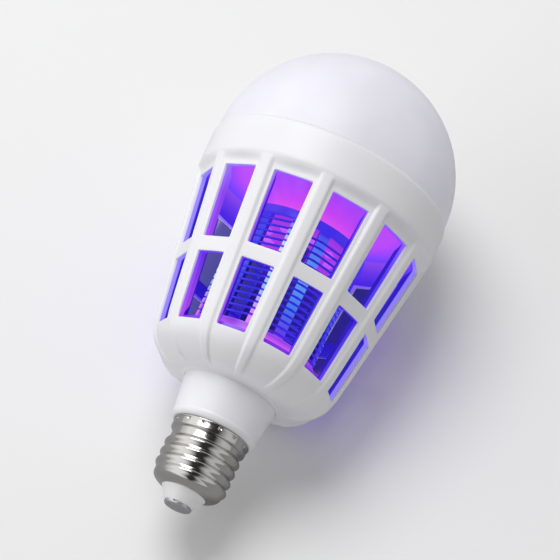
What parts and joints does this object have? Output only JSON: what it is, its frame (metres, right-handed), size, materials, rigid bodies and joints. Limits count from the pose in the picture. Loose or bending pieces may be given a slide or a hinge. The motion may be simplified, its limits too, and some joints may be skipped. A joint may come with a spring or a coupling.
{
  "type": "insect killer light bulb",
  "caption": "Screw-in bulb with a milky dome lamp above a windowed cage that holds a high-voltage insect grid lit in violet.",
  "frame": {"origin": "on the bulb's axis, at the tip of the centre contact", "axes": "+Z along the axis from the contact to the top of the dome, +X through the middle of one column of windows"},
  "size_m": [0.0868, 0.0868, 0.1725],
  "materials": {
    "shell_metal": "bright nickel plate",
    "insulator": "smooth white",
    "contact_metal": "dull tinned metal",
    "neck_plastic": "satin white",
    "cage_plastic": "glossy white",
    "screw_steel": "plain",
    "dome_plastic": "milky, smooth",
    "deck_plastic": "smooth white",
    "former_plastic": "smooth white",
    "wire_metal": "drawn wire",
    "tube_plastic": "smooth",
    "uv_board_face": "white solder mask",
    "uv_lamp": "lit violet",
    "reflector_plastic": "smooth white",
    "heat_plate_metal": "milled",
    "white_board_face": "white solder mask",
    "white_lamp": "phosphor",
    "driver_board_face": "green solder mask",
    "capacitor_sleeve": "sleeve",
    "choke_body": "ferrite and varnished wire",
    "film_capacitor_body": "dipped",
    "resistor_body": "lacquered",
    "black_package": "moulded",
    "lead_sleeve": "insulated wire"
  },
  "bodies": {
    "root": {"screw_shell": "shell_metal", "base_insulator": "insulator", "centre_contact": "contact_metal", "neck_housing": "neck_plastic", "cage": "cage_plastic", "neck_screws": "screw_steel", "dome_diffuser": "dome_plastic", "deck_plate": "deck_plastic", "grid_former": "former_plastic", "grid_wire_live": "wire_metal", "grid_wire_return": "wire_metal", "grid_leads": "wire_metal", "lead_tube": "tube_plastic", "uv_board": "uv_board_face", "uv_leds": "uv_lamp", "reflector": "reflector_plastic", "heat_plate": "heat_plate_metal", "white_board": "white_board_face", "white_leds": "white_lamp", "plate_screws": "screw_steel", "driver_board": "driver_board_face", "board_screws": "screw_steel", "bulk_capacitor": "capacitor_sleeve", "filter_choke": "choke_body", "film_capacitor": "film_capacitor_body", "fuse_resistor": "resistor_body", "multiplier_capacitors": "film_capacitor_body", "multiplier_diodes": "black_package", "rectifier": "black_package", "live_lead": "lead_sleeve", "neutral_lead": "lead_sleeve", "light_leads": "lead_sleeve"}
  },
  "joints": []
}
